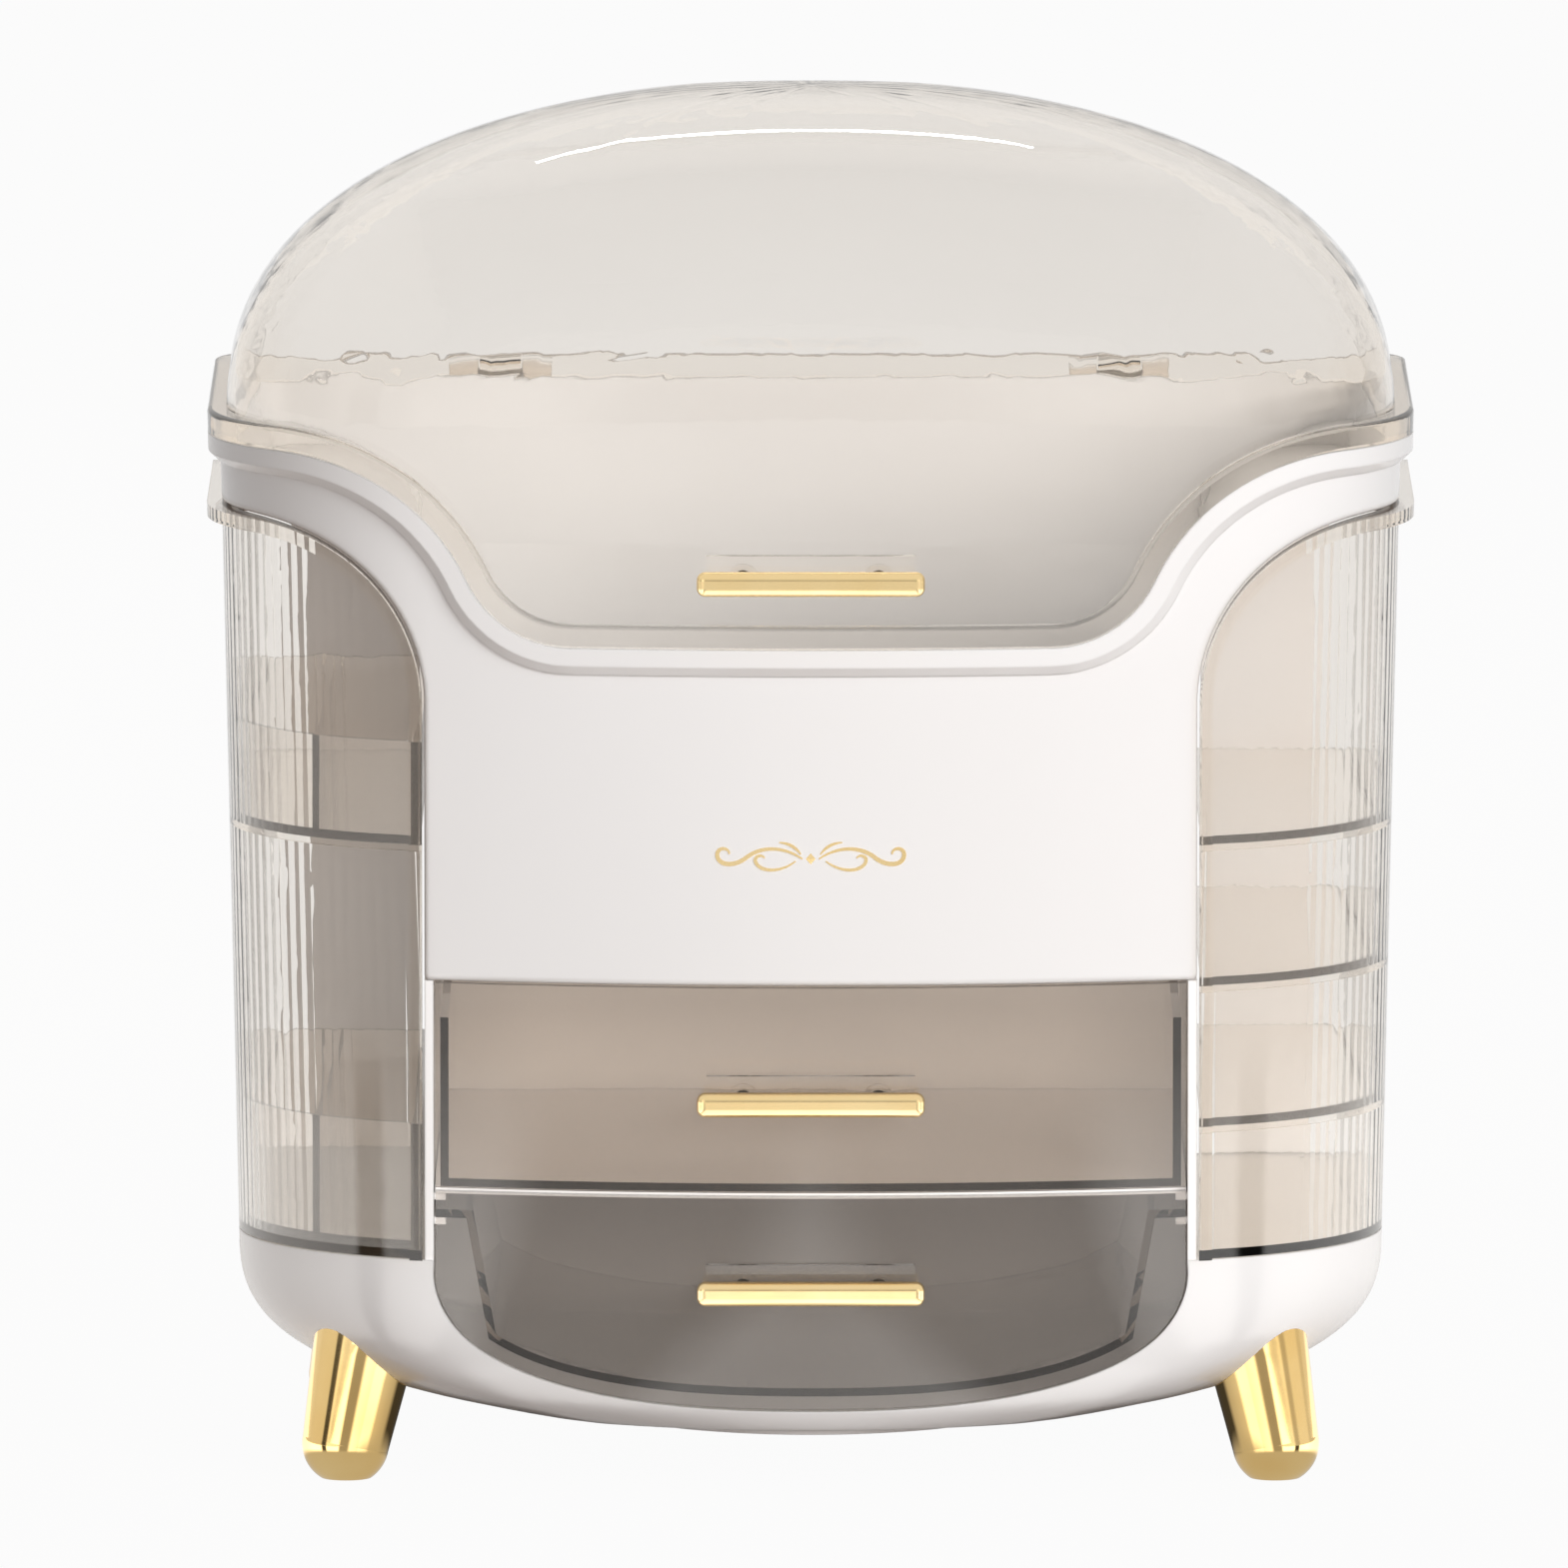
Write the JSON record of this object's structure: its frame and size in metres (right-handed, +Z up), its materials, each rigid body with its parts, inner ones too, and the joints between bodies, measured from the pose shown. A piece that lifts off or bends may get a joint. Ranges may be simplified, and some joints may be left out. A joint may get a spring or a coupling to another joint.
{
  "type": "makeup organizer",
  "caption": "Bow-fronted makeup organizer on splayed feet with a clear domed lid, stacked clear drawers and swing-out clear side boxes round a white body.",
  "frame": {"origin": "on the floor under the middle of the whole organizer", "axes": "+X to the right seen from the front, +Y to the back, +Z up"},
  "size_m": [0.323, 0.2382, 0.367],
  "materials": {
    "white_plastic": "gloss white",
    "clear_plastic": "clear with a faint warm smoke tint",
    "gold_pulls": "satin gold",
    "gold_feet": "polished gold",
    "steel": "plain"
  },
  "bodies": {
    "housing": {"base_pan": "white_plastic", "drawer_cabinet": "white_plastic", "drawer_divider": "white_plastic", "upper_tub": "white_plastic", "front_left_foot": "gold_feet", "front_right_foot": "gold_feet", "rear_left_foot": "gold_feet", "rear_right_foot": "gold_feet", "foot_screws": "steel", "deck_screws": "steel", "tub_screws": "steel", "lid_hinge_pins": "steel", "left_pivot_pins": "steel", "right_pivot_pins": "steel"},
    "lid": {"lid_dome": "clear_plastic", "lid_pull": "gold_pulls", "lid_pull_screws": "steel"},
    "middle_drawer_body": {"middle_drawer": "clear_plastic", "middle_pull": "gold_pulls", "middle_pull_screws": "steel"},
    "lower_drawer_body": {"lower_drawer": "clear_plastic", "lower_pull": "gold_pulls", "lower_pull_screws": "steel"},
    "left_side_box": {"left_box_cover": "clear_plastic", "left_box_back_plate": "white_plastic", "left_upper_tray": "clear_plastic", "left_lower_tray": "clear_plastic"},
    "right_side_box": {"right_box_cover": "clear_plastic", "right_box_back_plate": "white_plastic", "right_shelf_low": "clear_plastic", "right_shelf_middle": "clear_plastic", "right_shelf_high": "clear_plastic"}
  },
  "joints": [
    {"name": "lid_hinge", "type": "hinge", "parent": "housing", "child": "lid", "pos_m": [0, 0.11515, 0.2765], "axis": [-1, 0, 0], "range_deg": [0, 95]},
    {"name": "middle_drawer_slide", "type": "slide", "parent": "housing", "child": "middle_drawer_body", "axis": [0, -1, 0], "range_m": [0, 0.15]},
    {"name": "lower_drawer_slide", "type": "slide", "parent": "housing", "child": "lower_drawer_body", "axis": [0, -1, 0], "range_m": [0, 0.15]},
    {"name": "left_box_swing", "type": "hinge", "parent": "housing", "child": "left_side_box", "pos_m": [-0.1392, 0.09325, 0.15], "axis": [0, 0, -1], "range_deg": [0, 100]},
    {"name": "right_box_swing", "type": "hinge", "parent": "housing", "child": "right_side_box", "pos_m": [0.1392, 0.09325, 0.15], "axis": [0, 0, 1], "range_deg": [0, 100]}
  ]
}
